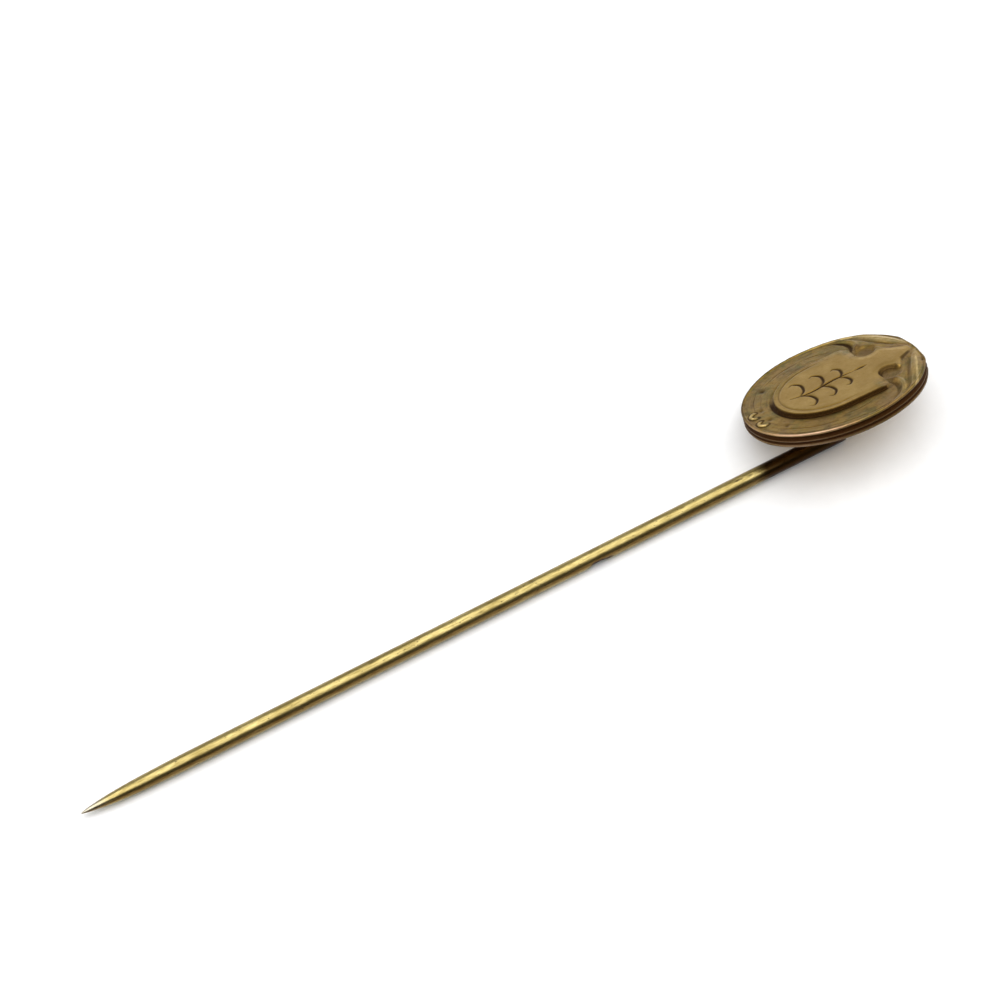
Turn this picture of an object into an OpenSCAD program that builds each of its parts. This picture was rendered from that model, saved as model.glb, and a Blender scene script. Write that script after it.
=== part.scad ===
// Stick pin with an oval stamped head.
// The pin lies as it rests: the stem along X on the ground, point towards -X,
// and the head rolled about the stem until its edge touches the ground too.
// The head has its own frame: X towards the crown, Y to the left, Z out of the face,
// with its origin in the middle of the back. Lengths are in millimetres.

/* [Head] */
// Height of the face, from the bottom ornament to the crown
head_l = 13; // [10:0.5:18]
// Width of the face
head_w = 10.8; // [8:0.1:15]
// Thickness of the face metal over the back plate
face_t = 0.37; // [0.25:0.01:0.6]
// Thickness of the back plate
back_t = 0.3; // [0.2:0.05:0.5]
// Thickness of the metal that is turned over behind the back plate
fold_t = 0.22; // [0.15:0.01:0.35]
// Width of the turned-over border, seen from behind
fold_w = 0.95; // [0.8:0.05:1.4]
// Wall between the bottom of the edge groove and the seat of the back plate
wall_t = 0.2; // [0.15:0.01:0.3]
// Clearance all round the back plate in its seat
seat_gap = 0.03; // [0.01:0.01:0.06]

/* [Relief] */
// Height of the shield above the lip of the face
shield_rise = 0.3; // [0.1:0.05:0.5]
// Run of the steep wall round the shield
wall_run = 0.14; // [0.04:0.01:0.2]
// Height of the crown ridges and scrolled arms above the lip
leaf_rise = 0.16; // [0.1:0.02:0.4]
// Half the width of a crown ridge or arm
leaf_w = 0.42; // [0.25:0.01:0.6]
// Height of the bottom ornament above the lip
petal_rise = 0.14; // [0.05:0.01:0.3]
// Width of the rolled lip round the face
lip_w = 0.55; // [0.3:0.05:0.8]
// Height of the rolled lip
lip_rise = 0.07; // [0.03:0.01:0.15]
// Depth of the groove in the edge
groove_d = 0.17; // [0.08:0.01:0.25]
// Rise of the border from the lip to the foot of the shield
border_rise = 0.03; // [0:0.01:0.12]

/* [Stem] */
// Diameter of the wire
stem_d = 1.07; // [0.8:0.01:1.4]
// Length from the point to the middle of the head
stem_l = 56.5; // [40:0.5:90]
// Length of the tapered point
point_l = 8.7; // [4:0.1:14]
// Diameter of the blunted tip
tip_d = 0.08; // [0.04:0.01:0.2]
// Distance from the back of the head to the stem's axis
stand_off = 2.65; // [2.2:0.05:4]
// Radius of the neck bend, at the wire's axis
bend_r = 0.9; // [0.8:0.1:2]
// Distance of the neck from the middle of the head, towards the crown
neck_up = 0.5; // [0:0.1:2]
// Backward tilt of the head against the stem, in degrees
head_tilt = 1; // [0:1:8]
// Radius of the solder round the neck, on the back plate
solder_r = 1.05; // [0.9:0.05:1.6]
// Thickness of the solder that has run up the neck
solder_skin = 0.02; // [0.01:0.01:0.1]

/* [Hidden] */
$fn = 64;

// Sides of the face outline
sides = 136;
// Rings between the foot of the shield and the lip
border_rings = 12;
// How far a solid runs into the one that it is joined to
weld = 0.05;

half_l = head_l / 2;
half_w = head_w / 2;
stem_r = stem_d / 2;
neck_r = stem_r + solder_skin;
edge_t = fold_t + back_t + face_t + 2 * seat_gap;
seat_inset = groove_d + wall_t;

// Outline of the face: columns are degrees from the crown, and reach as a share of the oval.
// Two leaf tips stand at 20 degrees, with a shallow dip between them, and the foot is the
// broader end.
OUTLINE = [
    [0, 0.92], [11, 0.925], [16, 0.94], [20, 0.955], [30, 0.96], [40, 0.972],
    [50, 0.982], [65, 0.99], [90, 1], [115, 1.012], [150, 1.012], [180, 1.005]
];

// Outline of the top of the raised shield, from the neck out to the square shoulders.
// Columns as above.
SHOULDERS = [
    [0, 0.80], [4, 0.79], [9, 0.73], [13, 0.66], [15, 0.56], [19, 0.49], [25, 0.46], [30, 0.475],
    [40, 0.535], [50, 0.635], [55, 0.675], [60, 0.675]
];

// Below the shoulders the shield is a U: half its width, where its round bottom begins below
// the middle of the face and where it ends, all as shares of half the face
SHIELD_SIDE = 0.593;
SHIELD_TURN = 0.08;
SHIELD_FOOT = 0.67;
// Degrees from the crown at which the shoulders end, and at which the round bottom begins
SHOULDER_END = 60;
SIDE_END = 98;
// Room that the shield keeps to the lip, in runs of its own wall
SHIELD_ROOM = 2;
// Rings on the shield's top, as shares of its edge, and the drop at that edge, of its rise
SHIELD_RINGS = [0.35, 0.7, 0.93];
BROW_DROP = 0.15;

// Crown ridge of one side, from the side of the face to the crown. Columns are the place
// across and up, as shares of half the face, and the width and height, as shares of the leaf's.
CROWN_RIDGE = [
    [0.93, 0.24, 0.5, 0.1], [0.86, 0.44, 0.7, 0.4], [0.74, 0.57, 1, 0.8], [0.56, 0.68, 1.1, 1],
    [0.36, 0.78, 1, 1], [0.15, 0.865, 0.7, 0.7]
];

// Scrolled arm of one side, from the side of the face to the ball at its end. Columns as above.
ARM = [
    [0.92, 0.24, 0.4, 0.2], [0.86, 0.38, 0.6, 0.5], [0.76, 0.46, 0.7, 0.9],
    [0.64, 0.50, 0.7, 1], [0.55, 0.50, 0.7, 1], [0.5, 0.46, 0.7, 1]
];

// Knob beside the shield's neck, over the shoulder. Columns as above.
KNOB = [[0.215, 0.67, 0.5, 0.8], [0.27, 0.625, 0.65, 1]];

// One petal of the bottom ornament: columns as above, with the petal's own height.
PETAL = [[0.17, -0.86, 0.5, 0.5], [0.17, -0.9, 0.5, 1], [0.12, -0.93, 0.5, 1], [0.06, -0.9, 0.5, 0.6]];

// Section of the rolled lip: columns are inset, as a share of its width, and height, of its rise.
LIP = [[1, 0], [0.8, 0.65], [0.55, 1], [0.3, 0.85], [0.1, 0.2]];

// Section of the edge, from the lip down to the back: columns are inset, as a share of the
// groove's depth, and level, as a share of the edge's height.
EDGE = [
    [0, 0.95], [0.2, 0.88], [1, 0.8], [1, 0.62], [0.2, 0.55], [0, 0.47], [0.7, 0.34],
    [0.7, 0.3], [0.1, 0.24], [0, 0.14], [0.3, 0.03], [0.8, 0]
];

// Section of the turned-over border and the seat: columns are inset, from the groove's depth (0)
// over the seat (1) to the border's inner edge (2), and level, from the back (0) over the top
// of the turned metal (1) to the roof of the seat (2).
SEAT = [[1.9, 0], [2, 0.3], [2, 0.8], [1.95, 1], [1, 1], [1, 2]];

// Section of the point: columns are place from the tip, as a share of the point's length,
// and thickness, as a share of the wire's.
POINT = [
    [0.03, 0.2], [0.1, 0.4], [0.2, 0.59], [0.32, 0.74], [0.45, 0.85], [0.6, 0.92], [0.8, 0.975], [1, 1]
];

// Value of a two-column table at a place between its rows
function at(table, x) =
    let (i = max([for (k = [0 : len(table) - 2]) if (table[k][0] <= x) k]))
    let (t = (x - table[i][0]) / (table[i + 1][0] - table[i][0]))
    table[i][1] * (1 - t) + table[i + 1][1] * t;

// Degrees from the crown, without side, of a direction between 0 and 360
function from_crown(a) = a > 180 ? 360 - a : a;

// Point of the face plane at a direction and a share of the oval
function oval(a, reach) = [reach * half_l * cos(a), reach * half_w * sin(a)];

// Point of the outline at a direction, moved inwards by a distance
function rim(a, inset) =
    let (out = [cos(a) / half_l, sin(a) / half_w])
    oval(a, at(OUTLINE, from_crown(a))) - inset * out / norm(out);

// Height that a ridge adds at a point of the face: the tallest of its tapered stretches
function ridge(p, table, wide, tall) = max([
    for (k = [0 : len(table) - 2])
        let (a = [table[k][1] * half_l, table[k][0] * half_w])
        let (b = [table[k + 1][1] * half_l, table[k + 1][0] * half_w])
        let (t = max(0, min(1, (p - a) * (b - a) / ((b - a) * (b - a)))))
        let (w = wide * (table[k][2] * (1 - t) + table[k + 1][2] * t))
        let (h = tall * (table[k][3] * (1 - t) + table[k + 1][3] * t))
        let (far = norm(p - a - t * (b - a)) / w)
        far < 1 ? h * (1 - far * far) : 0
]);

// Height of the ornament at a point of the face, the same on both sides
function ornament(p) =
    let (q = [p[0], abs(p[1])])
    max(ridge(q, CROWN_RIDGE, leaf_w, leaf_rise), ridge(q, ARM, leaf_w, leaf_rise),
        ridge(q, KNOB, leaf_w, leaf_rise), ridge(q, PETAL, leaf_w, petal_rise));

// Reach of the shield's round bottom, half an oval whose middle is below that of the face
function bottom_reach(a) =
    let (depth = SHIELD_FOOT - SHIELD_TURN, q = SHIELD_TURN / depth)
    let (across = sin(a) / SHIELD_SIDE, up = cos(a) / depth)
    let (both = across * across + up * up)
    (sqrt(up * up * q * q + both * (1 - q * q)) - up * q) / both;

// Reach of the whole shield, from the degrees between a direction and the crown
function shield_reach(a) =
    a < SHOULDER_END ? at(SHOULDERS, a)
    : a < SIDE_END ? min(SHIELD_SIDE / sin(a), at(SHOULDERS, SHOULDER_END))
    : bottom_reach(a);

// Edge of the shield at a direction: it stays inside the lip
function shield_edge(a) =
    let (p = oval(a, shield_reach(from_crown(a))))
    let (room = norm(rim(a, lip_w + SHIELD_ROOM * wall_run)) / norm(p))
    p * min(1, room);

// Rings of the face shell. Each is a list of points, all in the same directions.
turns = [for (k = [0 : sides - 1]) k * 360 / sides];
shield_top = edge_t + shield_rise;

// A ring at one height, from the list of its points in plan
function level_ring(plan, z) = [for (p = plan) [p[0], p[1], z]];

// A ring that carries the ornament
function relief_ring(plan, z) = [for (p = plan) [p[0], p[1], z + ornament(p)]];

edge_plan = [for (a = turns) shield_edge(a)];
foot_plan = [for (p = edge_plan) p + wall_run * p / norm(p)];
lip_plan = [for (a = turns) rim(a, lip_w)];

shield_rings = [for (s = SHIELD_RINGS) level_ring(s * edge_plan, shield_top)];
brow_ring = level_ring(edge_plan, shield_top - BROW_DROP * shield_rise);
relief_rings = [for (k = [0 : border_rings])
    let (t = k / border_rings)
    relief_ring((1 - t) * foot_plan + t * lip_plan, edge_t + border_rise * (1 - t))];
lip_rings = [for (row = LIP)
    relief_ring([for (a = turns) rim(a, row[0] * lip_w)], edge_t + row[1] * lip_rise)];
edge_rings = [for (row = EDGE)
    level_ring([for (a = turns) rim(a, row[0] * groove_d)], row[1] * edge_t)];

// Inset and level of a row of the seat's section
function seat_inset_at(s) = s < 1 ? groove_d + s * wall_t : seat_inset + (s - 1) * (fold_w - seat_inset);
function seat_level_at(s) = s < 1 ? s * fold_t : fold_t + (s - 1) * (back_t + 2 * seat_gap);
seat_rings = [for (row = SEAT)
    level_ring([for (a = turns) rim(a, seat_inset_at(row[0]))], seat_level_at(row[1]))];

shell_rings = concat(shield_rings, [brow_ring], relief_rings, [for (k = [1 : len(LIP) - 1]) lip_rings[k]],
    edge_rings, seat_rings);

// Roll of the head about the stem

// A point of the head's frame in the pin's frame, where the stem's axis is the X axis
function in_pin(p) = [
    p[0] * cos(head_tilt) + (p[2] + stand_off) * sin(head_tilt),
    p[1],
    (p[2] + stand_off) * cos(head_tilt) - p[0] * sin(head_tilt)
];

// The same point with the pin rolled about its stem, which lies on the ground
function rolled(p, roll) = [
    p[0], p[1] * cos(roll) + p[2] * sin(roll), p[2] * cos(roll) - p[1] * sin(roll) + stem_r
];

outer_points = [for (ring = edge_rings) for (p = ring) in_pin(p)];
face_points = [for (ring = concat([brow_ring], relief_rings, lip_rings)) for (p = ring) in_pin(p)];

// Largest roll that is looked at, in degrees, and how often the range is halved
ROLL_MOST = 80;
ROLL_STEPS = 26;

// Height of the head's lowest point at a roll, and the roll at which it is zero
function lowest(roll) = min([for (p = outer_points) rolled(p, roll)[2]]);
function resting_roll(low, high, steps) =
    let (mid = (low + high) / 2)
    steps == 0 ? mid
    : lowest(mid) > 0 ? resting_roll(mid, high, steps - 1)
    : resting_roll(low, mid, steps - 1);
head_roll = resting_roll(0, ROLL_MOST, ROLL_STEPS);

// Middle of the lying pin's box, which goes over the origin
lying = [for (p = concat(outer_points, face_points)) rolled(p, head_roll)];
box_low = [min([for (p = lying) p[0]]), min([for (p = lying) p[1]])];
box_high = [max([for (p = lying) p[0]]), max([for (p = lying) p[1]])];
middle_x = (min(box_low[0], -stem_l) + box_high[0]) / 2;
middle_y = (min(box_low[1], -stem_r) + max(box_high[1], stem_r)) / 2;

// Puts what is drawn in the pin's frame where it rests
module resting() {
    translate([-middle_x, -middle_y, stem_r]) rotate([-head_roll, 0, 0]) children();
}

// Puts what is drawn in the head's frame on the pin
module on_pin() {
    rotate([0, head_tilt, 0]) translate([0, 0, stand_off]) children();
}

module face_shell() {
    count = len(shell_rings);
    crown_pole = count * sides;
    seat_pole = crown_pole + 1;
    points = concat([for (ring = shell_rings) for (p = ring) p],
        [[0, 0, shield_top], [0, 0, seat_level_at(2)]]);
    // Each square of the mesh is cut along one diagonal, the other way on the other side
    walls = [for (r = [0 : count - 2]) for (k = [0 : sides - 1])
        let (a = r * sides + k, b = r * sides + (k + 1) % sides, c = a + sides, d = b + sides)
        each k < sides / 2 ? [[a, b, d], [a, d, c]] : [[a, b, c], [c, b, d]]];
    top_fan = [for (k = [0 : sides - 1]) [crown_pole, (k + 1) % sides, k]];
    seat_fan = [for (k = [0 : sides - 1])
        [seat_pole, (count - 1) * sides + k, (count - 1) * sides + (k + 1) % sides]];
    color("darkgoldenrod") resting() on_pin()
        polyhedron(points = points, faces = concat(walls, top_fan, seat_fan));
}

// The bend turns the wire from the stem up to the head, short of where the neck's axis meets
// the stem's
bend_turn = 90 - head_tilt;
bend_reach = bend_r * tan(bend_turn / 2);
bend_start = neck_up / cos(head_tilt) - bend_reach;
post_l = stand_off + fold_t + seat_gap - neck_up * tan(head_tilt) - bend_reach;
// The pliers leave the wire this much thinner in the bend
bend_thin = 0.01;

// The straight wire with its point, drawn along +Z from its tip, and run a little into the bend
module straight_wire() {
    straight_l = stem_l + bend_start + weld;
    rotate_extrude() polygon(concat([[0, 0], [tip_d / 2, 0]],
        [for (row = POINT) [max(tip_d / 2, row[1] * stem_r), row[0] * point_l]],
        [[stem_r, straight_l], [0, straight_l]]));
}

// Most of the neck that the solder's fillet may climb, as a share
FILLET_REACH = 0.8;

// Neck of the pin with its solder, drawn along +Z from the back plate down to the bend.
// The solder thickens the wire by a trace and spreads in a hollow fillet at the plate.
module neck() {
    foot = min(solder_r - neck_r, FILLET_REACH * post_l);
    rotate_extrude() polygon(concat([[0, -weld], [neck_r + foot, -weld]],
        [for (a = [0 : 15 : 90]) [neck_r + foot * (1 - sin(a)), foot * (1 - cos(a))]],
        [[neck_r, post_l + weld], [0, post_l + weld]]));
}

module back_and_stem() {
    plate = [for (a = turns) rim(a, seat_inset + seat_gap)];
    color("goldenrod") resting() union() {
        on_pin() {
            translate([0, 0, fold_t + seat_gap]) linear_extrude(back_t) polygon(plate);
            translate([neck_up, 0, fold_t + seat_gap]) mirror([0, 0, 1]) neck();
        }
        translate([bend_start, 0, bend_r]) rotate([90, 0, 0]) rotate([0, 0, -90])
            rotate_extrude(angle = bend_turn) translate([bend_r, 0]) circle(r = stem_r - bend_thin);
        // The wire's seam looks to the side as the pin rests
        translate([-stem_l, 0, 0]) rotate([head_roll, 0, 0]) rotate([0, 90, 0]) rotate([0, 0, 90])
            straight_wire();
    }
}

face_shell();
back_and_stem();
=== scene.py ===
# Stick pin with an oval stamped head, lying on a pale table under a soft overhead light.
import math

import bpy
import numpy as np
from mathutils import Matrix, Vector, noise


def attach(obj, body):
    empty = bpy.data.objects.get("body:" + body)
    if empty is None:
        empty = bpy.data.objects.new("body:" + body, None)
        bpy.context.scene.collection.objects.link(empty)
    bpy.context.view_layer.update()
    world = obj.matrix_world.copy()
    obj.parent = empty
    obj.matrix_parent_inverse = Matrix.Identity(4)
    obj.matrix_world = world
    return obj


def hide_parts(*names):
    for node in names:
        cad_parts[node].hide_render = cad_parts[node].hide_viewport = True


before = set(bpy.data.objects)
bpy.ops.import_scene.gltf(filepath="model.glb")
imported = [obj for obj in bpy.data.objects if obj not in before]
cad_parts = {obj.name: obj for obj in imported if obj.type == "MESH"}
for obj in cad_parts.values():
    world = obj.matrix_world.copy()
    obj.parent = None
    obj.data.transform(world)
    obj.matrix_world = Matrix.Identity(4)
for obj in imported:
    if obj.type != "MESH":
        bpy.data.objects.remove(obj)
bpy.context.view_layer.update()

# Shapes are modelled in millimetres, in the head's or the pin's own frame, and then placed.
MM = 0.001

# The pin as it lies. Its own frame has X along the stem to the head and Z towards the head.
STEM_AXIS_END = Vector((25.2287, -1.66164, 0.535))
HEAD_ROLL = math.radians(31.727)
HEAD_TILT = math.radians(1)
STAND_OFF = 2.65

# Head: X to its right, Y to the crown, Z out of the face, from the middle of its back
HALF_W = 5.4
HALF_L = 6.5
FOLD_T = 0.22
FOLD_W = 0.95
BACK_T = 0.3
FACE_T = 0.37
WALL_T = 0.2
SEAT_GAP = 0.03
EDGE_T = FOLD_T + BACK_T + FACE_T + 2 * SEAT_GAP
GROOVE_D = 0.17
SEAT_INSET = GROOVE_D + WALL_T
LIP_W = 0.55
LIP_RISE = 0.07

# Wire
STEM_R = 0.535
STEM_L = 56.5
POINT_L = 8.7
TIP_R = 0.04
BEND_R = 0.9
BEND_TURN = math.pi / 2 - HEAD_TILT
BEND_REACH = BEND_R * math.tan(BEND_TURN / 2)
# The neck stands this far from the middle of the head, towards the crown
NECK_UP = 0.5
BEND_START = NECK_UP / math.cos(HEAD_TILT) - BEND_REACH
POST_L = STAND_OFF + FOLD_T + SEAT_GAP - NECK_UP * math.tan(HEAD_TILT) - BEND_REACH

PIN_PLACE = Matrix.Translation(STEM_AXIS_END) @ Matrix.Rotation(-HEAD_ROLL, 4, "X")
HEAD_PLACE = (PIN_PLACE @ Matrix.Rotation(HEAD_TILT, 4, "Y")
              @ Matrix.Translation((0, 0, STAND_OFF)) @ Matrix.Rotation(-math.pi / 2, 4, "Z"))


# Helpers for modelling

def select_rim():
    """Selects the open border of the mesh being edited."""
    bpy.ops.mesh.select_mode(type="EDGE")
    bpy.ops.mesh.select_all(action="DESELECT")
    bpy.ops.mesh.select_non_manifold()


def start_disk(sides, radius, level, fill="TRIFAN"):
    """Starts a turned piece as a flat disk at a level, opened for editing at its rim."""
    bpy.ops.object.select_all(action="DESELECT")
    bpy.ops.mesh.primitive_circle_add(vertices=sides, radius=radius, fill_type=fill,
                                      location=(0, 0, level))
    bpy.ops.object.transform_apply()
    bpy.ops.object.mode_set(mode="EDIT")
    select_rim()


def turn_rings(rows, start_r, start_z):
    """Extrudes the selected loop through a turned section of radius and level rows."""
    radius, level = start_r, start_z
    for next_r, next_z in rows:
        bpy.ops.mesh.extrude_edges_move()
        bpy.ops.transform.resize(value=(next_r / radius, next_r / radius, 1),
                                 center_override=(0, 0, level))
        bpy.ops.transform.translate(value=(0, 0, next_z - level))
        radius, level = next_r, next_z


def close(name):
    """Caps the selected loop, turns the faces out and names the piece."""
    bpy.ops.mesh.edge_face_add()
    bpy.ops.mesh.select_all(action="SELECT")
    bpy.ops.mesh.normals_make_consistent(inside=False)
    bpy.ops.object.mode_set(mode="OBJECT")
    piece = bpy.context.object
    piece.name = piece.data.name = name
    return piece


def smooth(piece, levels):
    """Rounds the cage with applied subdivision."""
    modifier = piece.modifiers.new("Round", "SUBSURF")
    modifier.levels = modifier.render_levels = levels
    bpy.ops.object.modifier_apply(modifier=modifier.name)
    bpy.ops.object.shade_smooth()


def points_of(piece):
    flat = np.empty(3 * len(piece.data.vertices))
    piece.data.vertices.foreach_get("co", flat)
    return flat.reshape(-1, 3)


def move_points(piece, points):
    piece.data.vertices.foreach_set("co", np.asarray(points).ravel())
    piece.data.update()


def paint(piece, name, values):
    """Stores one number a point, for a material to read."""
    layer = piece.data.attributes.new(name, "FLOAT", "POINT")
    layer.data.foreach_set("value", np.asarray(values, dtype=np.float32))


def paint_course(piece, name, vectors):
    """Stores one vector a point, for a pattern to follow."""
    layer = piece.data.attributes.new(name, "FLOAT_VECTOR", "POINT")
    layer.data.foreach_set("vector", np.asarray(vectors, dtype=np.float32).ravel())


def place(piece, matrix):
    """Puts a piece modelled in its own millimetres where the pin lies, and hands it over."""
    piece.data.transform(Matrix.Scale(MM, 4) @ matrix)
    piece.data.update()
    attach(piece, "root")


def grain(points, size, depth=1.0, seed=0.0):
    """Smooth noise at each point, with lumps of about the given size."""
    shift = Vector((seed, 2 * seed, 3 * seed))
    return depth * np.array([noise.noise(Vector(p) / size + shift) for p in points])


# Outline of the face: degrees from the crown, and reach as a share of the oval
OUTLINE = [
    [0, 0.92], [11, 0.925], [16, 0.94], [20, 0.955], [30, 0.96], [40, 0.972],
    [50, 0.982], [65, 0.99], [90, 1], [115, 1.012], [150, 1.012], [180, 1.005],
]


def rim(turn, inset):
    """Outline of the face at directions from the crown, moved inwards by a distance."""
    table = np.array(OUTLINE)
    degrees = np.degrees(np.abs((turn + np.pi) % (2 * np.pi) - np.pi))
    spread = (-2.4, -1.2, 0, 1.2, 2.4)
    reach = sum(np.interp(np.abs(degrees + s), table[:, 0], table[:, 1]) for s in spread) / len(spread)
    out = np.stack([np.sin(turn) / HALF_W, np.cos(turn) / HALF_L], axis=1)
    out /= np.linalg.norm(out, axis=1, keepdims=True)
    edge = np.stack([reach * HALF_W * np.sin(turn), reach * HALF_L * np.cos(turn)], axis=1)
    return edge - inset[:, None] * out


# The head's pieces are turned as round blanks, and then pressed to the oval outline.
BLANK_R = 6.0
# Insets beyond this one shrink towards the middle
PRESS_DEPTH = 1.2


def press(points):
    """Moves the points of a round blank to the oval."""
    turn = np.arctan2(points[:, 0], points[:, 1])
    radius = np.hypot(points[:, 0], points[:, 1])
    inset = BLANK_R - radius
    plan = rim(turn, np.minimum(inset, PRESS_DEPTH))
    shrink = np.where(inset > PRESS_DEPTH, radius / (BLANK_R - PRESS_DEPTH), 1)
    return np.column_stack([plan * shrink[:, None], points[:, 2]])


# Relief of the face. Tables hold shares of half the face, the same on both sides.
SHIELD_RISE = 0.3
WALL_RUN = 0.16
BORDER_RISE = 0.03
SHIELD_SIDE = 0.593
SHIELD_TURN = 0.08
SHIELD_FOOT = 0.67
SHOULDER_TOP = 0.39
SHOULDER_ROUND = 0.5
# The neck's top sinks into the crown, and the shoulders' tops sink too: where the fall begins and
# its run, up or across, and its depth in millimetres
NECK_FADE = [0.6, 0.26]
NECK_SINK = 0.13
SHOULDER_FADE = [0.26, 0.14]
SIDE_FADE = [0.26, 0.26]
SHOULDER_SINK = 0.16

# Neck of the shield: width and place up
NECK = [[0.30, 0.30], [0.27, 0.46], [0.25, 0.60], [0.17, 0.68], [0.10, 0.78], [0.05, 0.86]]
# Cusp of the neck over the round bite beside it: across and up
CUSP = [[0.14, 0.655], [0.285, 0.605]]
CUSP_R = 0.14
BITE = [0.325, 0.485]
BITE_R = 0.66

# The mantle is the raised field over the shoulders. Its lower edge: across and up.
MANTLE = [[0.0, 0.41], [0.42, 0.41], [0.50, 0.435], [0.56, 0.458], [0.63, 0.468], [0.70, 0.455],
          [0.77, 0.425], [0.83, 0.375], [0.88, 0.31], [0.94, 0.15], [1.0, -0.05]]
MANTLE_RISE = 0.13
MANTLE_RUN = 0.1

# Ridges: across, up, half width in millimetres and height in millimetres
CROWN_RIDGE = [
    [0.95, 0.12, 0.10, 0.01], [0.93, 0.28, 0.18, 0.03], [0.86, 0.44, 0.30, 0.05],
    [0.74, 0.57, 0.42, 0.08], [0.56, 0.68, 0.46, 0.12], [0.38, 0.77, 0.42, 0.13],
    [0.22, 0.84, 0.30, 0.10], [0.12, 0.88, 0.20, 0.05],
]
# The arm's course ends in a small curl that turns down beside the bite.
ARM = [
    [0.95, 0.20, 0.08, 0.01], [0.90, 0.345, 0.13, 0.04], [0.83, 0.425, 0.16, 0.07],
    [0.73, 0.475, 0.18, 0.08], [0.63, 0.497, 0.18, 0.08], [0.555, 0.49, 0.18, 0.08],
    [0.515, 0.47, 0.17, 0.08], [0.505, 0.445, 0.12, 0.04],
]
# Hollow under the arm, painted dark with shade and tarnishing, and the one between the arm and the
# crown ridge, painted with shade
UNDERCUT = [
    [0.88, 0.28, 0.05, 0.01], [0.83, 0.35, 0.12, 0.03], [0.77, 0.395, 0.17, 0.05],
    [0.70, 0.425, 0.19, 0.06], [0.63, 0.437, 0.19, 0.06], [0.56, 0.425, 0.17, 0.05],
    [0.50, 0.402, 0.12, 0.03], [0.46, 0.385, 0.06, 0.01],
]
CHANNEL = [[0.88, 0.37, 0.10, 0.01], [0.76, 0.515, 0.18, 0.05], [0.62, 0.585, 0.22, 0.06],
           [0.42, 0.67, 0.2, 0.06], [0.22, 0.765, 0.14, 0.03]]
# Bottom ornament: a small curl on each side of the middle
PETAL = [[0.165, -0.855, 0.08, 0.05], [0.17, -0.89, 0.10, 0.11], [0.125, -0.93, 0.11, 0.13],
         [0.075, -0.92, 0.10, 0.12], [0.06, -0.885, 0.08, 0.06]]
PETAL_SHADE = [[0.17, -0.85, 0.18, 1], [0.17, -0.89, 0.23, 1], [0.12, -0.93, 0.25, 1],
               [0.07, -0.92, 0.23, 1], [0.05, -0.87, 0.18, 1]]

# Dents that use has left: across, up, radius and depth in millimetres, on one side only
DENTS = [
    [-0.556, -0.616, 0.20, 0.07], [0.39, -0.73, 0.16, 0.05], [0.37, 0.86, 0.16, 0.08],
    [-0.70, -0.30, 0.12, 0.03], [0.78, -0.18, 0.10, 0.03], [0.10, -0.80, 0.18, 0.05],
    [-0.16, -0.795, 0.15, 0.04],
]
# Scratches along the border, on one side only: rows as a ridge's
SCRATCHES = [
    [[0.90, 0.30, 0.04, 0.01], [0.93, 0.05, 0.05, 0.02], [0.88, -0.22, 0.05, 0.02],
     [0.80, -0.45, 0.04, 0.01]],
    [[0.78, -0.30, 0.04, 0.01], [0.68, -0.52, 0.06, 0.03], [0.52, -0.70, 0.06, 0.02],
     [0.38, -0.80, 0.04, 0.01]],
    [[-0.80, -0.10, 0.04, 0.01], [-0.76, -0.34, 0.05, 0.02], [-0.64, -0.55, 0.04, 0.01]],
    [[-0.60, -0.66, 0.04, 0.01], [-0.40, -0.78, 0.05, 0.02], [-0.22, -0.84, 0.04, 0.01]],
    [[0.70, 0.15, 0.03, 0.01], [0.74, -0.05, 0.05, 0.02], [0.71, -0.22, 0.03, 0.01]],
    [[-0.70, 0.22, 0.04, 0.01], [-0.78, 0.08, 0.05, 0.02], [-0.80, -0.08, 0.04, 0.01]],
]


def curve(table, steps=7):
    """Smooth course through the rows of a ridge's table."""
    rows = np.array(table, float)
    rows[:, 0] *= HALF_W
    rows[:, 1] *= HALF_L
    ends = np.vstack([2 * rows[0] - rows[1], rows, 2 * rows[-1] - rows[-2]])
    out = []
    for k in range(1, len(ends) - 2):
        a, b, c, d = ends[k - 1:k + 3]
        for t in np.arange(steps) / steps:
            out.append(0.5 * (2 * b + (c - a) * t + (2 * a - 5 * b + 4 * c - d) * t * t
                              + (3 * b - a - 3 * c + d) * t ** 3))
    out.append(rows[-1])
    return np.array(out)


def ridge(x, y, table, flutes=0.0, crisp=2):
    """Height of a ridge along a course. Flutes cut veins along it; a crisp one has steep sides."""
    course = curve(table)
    best = np.zeros_like(x)
    for (ax, ay, aw, ah), (bx, by, bw, bh) in zip(course[:-1], course[1:]):
        dx, dy = bx - ax, by - ay
        t = np.clip(((x - ax) * dx + (y - ay) * dy) / (dx * dx + dy * dy), 0, 1)
        far = np.hypot(x - ax - t * dx, y - ay - t * dy) / (aw + (bw - aw) * t)
        side = np.sign((x - ax) * dy - (y - ay) * dx) * far
        veins = 1 - flutes * (0.5 - 0.5 * np.cos(2 * np.pi * 1.5 * side))
        height = (ah + (bh - ah) * t) * (1 - far ** crisp) * veins
        best = np.maximum(best, np.where(far < 1, height, 0))
    return best


def capsule(x, y, a, b, radius):
    """Distance outside a round-ended bar."""
    dx, dy = b[0] - a[0], b[1] - a[1]
    t = np.clip(((x - a[0]) * dx + (y - a[1]) * dy) / (dx * dx + dy * dy), 0, 1)
    return np.hypot(x - a[0] - t * dx, y - a[1] - t * dy) - radius


def blend_min(a, b, soft):
    """The lesser of two distances, with a fillet where they meet."""
    mix = np.clip(0.5 + 0.5 * (b - a) / soft, 0, 1)
    return b + (a - b) * mix - soft * mix * (1 - mix)


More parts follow.
